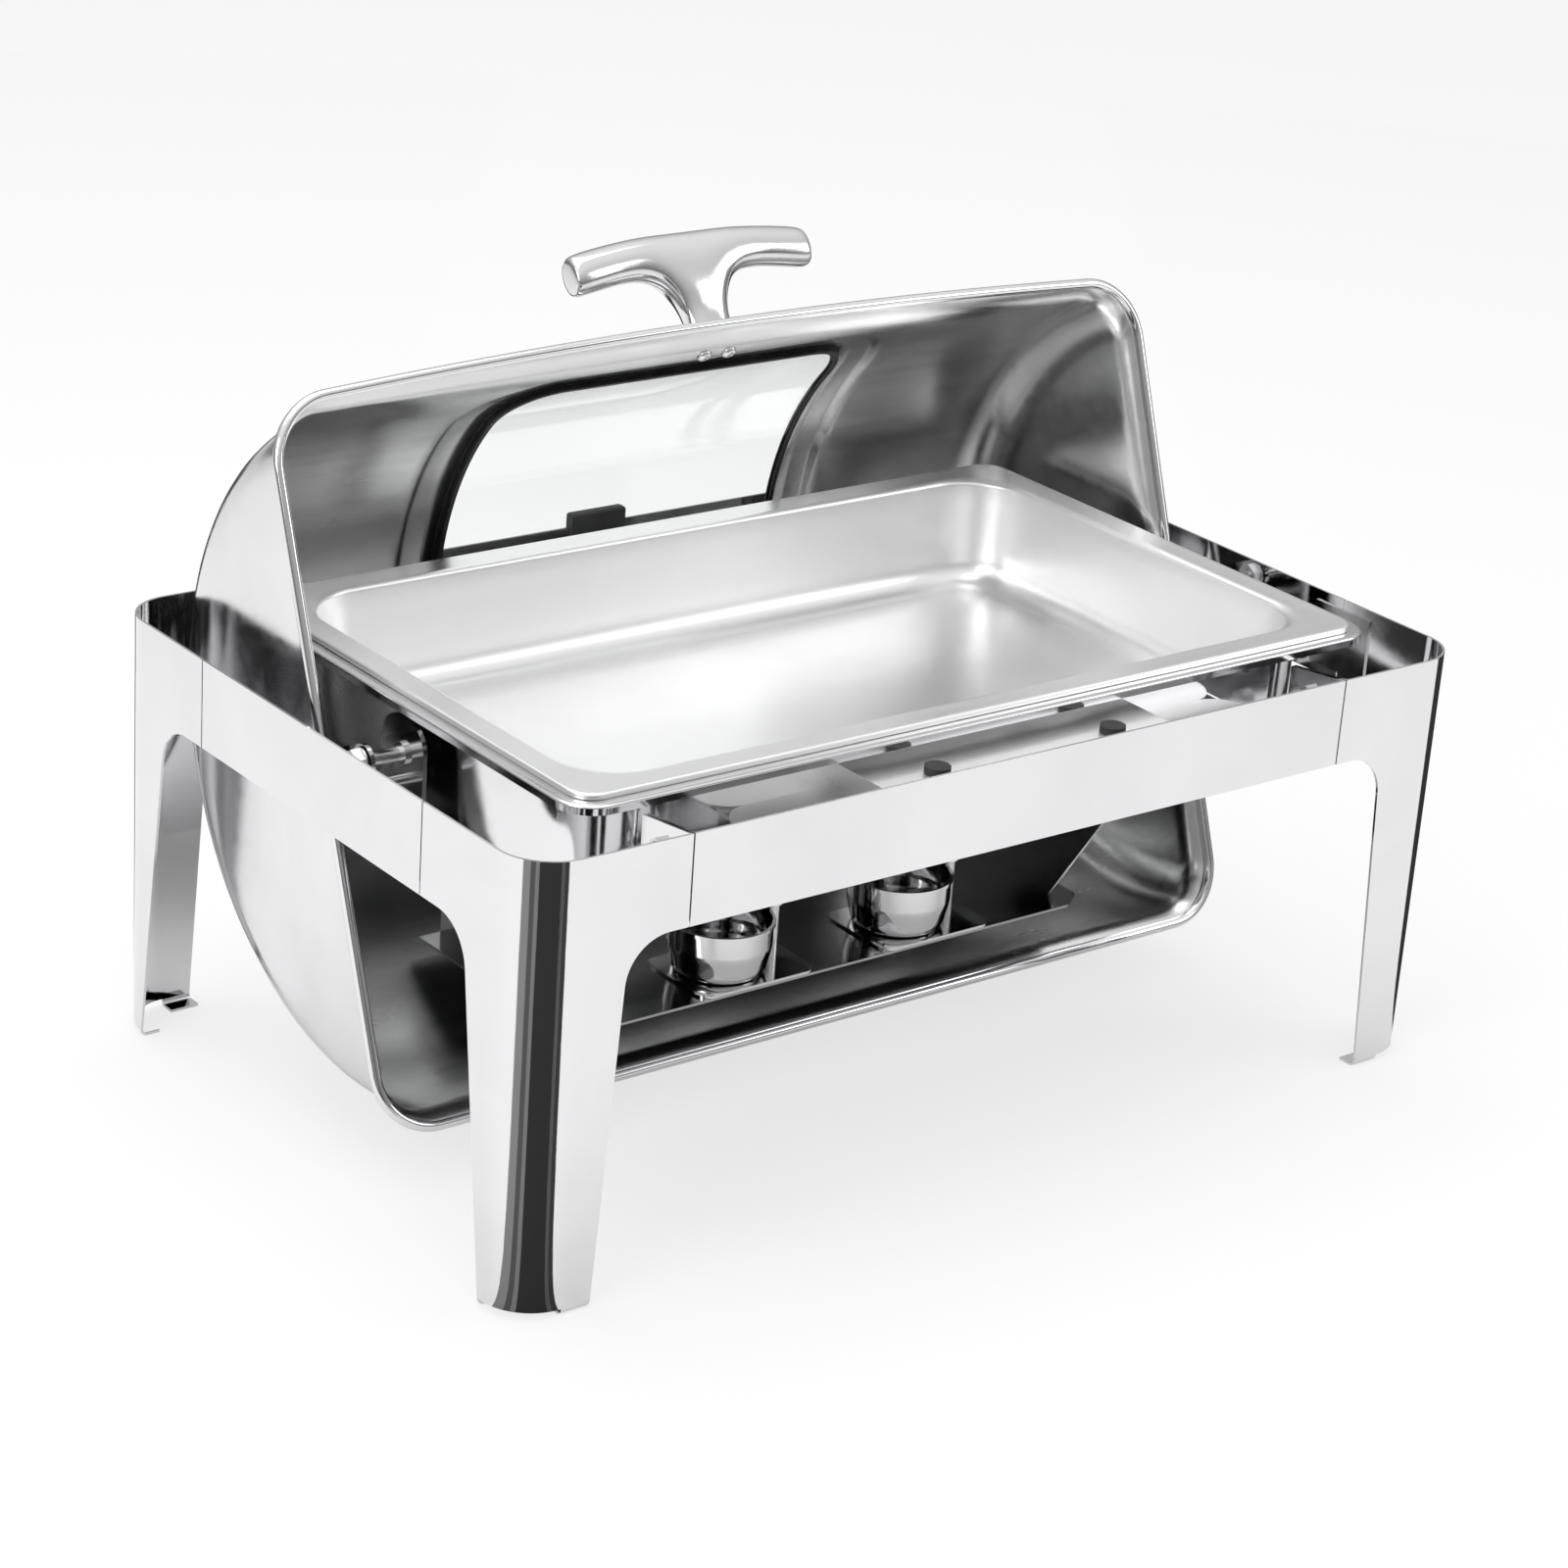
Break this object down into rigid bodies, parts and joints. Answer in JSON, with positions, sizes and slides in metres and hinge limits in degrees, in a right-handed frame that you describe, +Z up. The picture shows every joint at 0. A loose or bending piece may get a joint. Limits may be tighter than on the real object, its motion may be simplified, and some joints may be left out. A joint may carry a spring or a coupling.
{
  "type": "chafing dish food warmer",
  "caption": "Roll-top chafing dish: polished frame on bent-sheet legs, food pan in a water pan, fuel holders below, and a domed lid with a glass window that rolls back",
  "frame": {"origin": "on the table at the middle of the frame", "axes": "+Z up, +X along the front to the right, +Y from the front to the back"},
  "size_m": [0.635, 0.4116, 0.4441],
  "materials": {
    "polished_frame": "mirror polished stainless sheet",
    "lid_steel": "polished outside, satin inside",
    "pan_steel": "satin stainless",
    "water_pan_steel": "bright stainless",
    "cast_handle": "polished casting",
    "window_glass": "clear tempered",
    "gasket_rubber": "matt black silicone",
    "stop_rubber": "matt black rubber",
    "bush_plastic": "black nylon",
    "fastener_steel": "bright",
    "burner_steel": "polished stainless",
    "cradle_steel": "bright polished stainless"
  },
  "bodies": {
    "frame": {"back_buffer": "stop_rubber", "back_rail": "polished_frame", "back_seam_plates": "cradle_steel", "cradle_side_left": "cradle_steel", "cradle_side_right": "cradle_steel", "front_bracket": "cradle_steel", "front_rail": "polished_frame", "fuel_shelf": "cradle_steel", "hinge_nut_left": "fastener_steel", "hinge_nut_right": "fastener_steel", "hinge_pin_left": "fastener_steel", "hinge_pin_right": "fastener_steel", "hinge_plate_left": "cradle_steel", "hinge_plate_right": "cradle_steel", "leg_back_left": "polished_frame", "leg_back_right": "polished_frame", "leg_front_left": "polished_frame", "leg_front_right": "polished_frame", "lid_bumpers": "stop_rubber", "lid_rest_bridge": "cradle_steel", "lid_stop_pin_left": "fastener_steel", "lid_stop_pin_right": "fastener_steel", "pan_strap": "cradle_steel", "seam_screws_left": "fastener_steel", "seam_screws_right": "fastener_steel", "side_rail_left": "polished_frame", "side_rail_right": "polished_frame", "side_seam_plates": "cradle_steel"},
    "lid": {"lid_shell": "lid_steel", "lid_rim": "lid_steel", "lid_arm_left": "cradle_steel", "lid_arm_right": "cradle_steel", "arm_rivets": "fastener_steel", "window_glass": "window_glass", "window_gasket": "gasket_rubber", "lid_handle": "cast_handle", "handle_screws": "fastener_steel", "hinge_bush_left": "bush_plastic", "hinge_bush_right": "bush_plastic"},
    "water_pan": {"water_pan": "water_pan_steel"},
    "food_pan": {"food_pan": "pan_steel"},
    "fuel_holder_left": {"fuel_cup_left": "burner_steel", "fuel_cup_base_left": "burner_steel", "snuffer_post_left": "fastener_steel"},
    "snuffer_left": {"snuffer_left": "burner_steel", "snuffer_grip_left": "burner_steel"},
    "fuel_holder_right": {"fuel_cup_right": "burner_steel", "fuel_cup_base_right": "burner_steel", "snuffer_post_right": "fastener_steel"},
    "snuffer_right": {"snuffer_right": "burner_steel", "snuffer_grip_right": "burner_steel"}
  },
  "joints": [
    {"name": "lid_roll", "type": "hinge", "parent": "frame", "child": "lid", "pos_m": [0, -0.007, 0.229], "axis": [-1, 0, 0], "range_deg": [-110, 0]},
    {"name": "water_pan_lift", "type": "slide", "parent": "frame", "child": "water_pan", "axis": [0, 0, 1], "range_m": [0, 0.015]},
    {"name": "food_pan_lift", "type": "slide", "parent": "water_pan", "child": "food_pan", "axis": [0, 0, 1], "range_m": [0, 0.03]},
    {"name": "fuel_holder_left_lift", "type": "slide", "parent": "frame", "child": "fuel_holder_left", "axis": [0, 0, 1], "range_m": [0, 0.04]},
    {"name": "snuffer_left_swing", "type": "hinge", "parent": "fuel_holder_left", "child": "snuffer_left", "pos_m": [-0.027, -0.026, 0.099], "axis": [0, 0, 1], "range_deg": [0, 118]},
    {"name": "fuel_holder_right_lift", "type": "slide", "parent": "frame", "child": "fuel_holder_right", "axis": [0, 0, 1], "range_m": [0, 0.04]},
    {"name": "snuffer_right_swing", "type": "hinge", "parent": "fuel_holder_right", "child": "snuffer_right", "pos_m": [0.101, -0.026, 0.099], "axis": [0, 0, 1], "range_deg": [0, 118]}
  ]
}
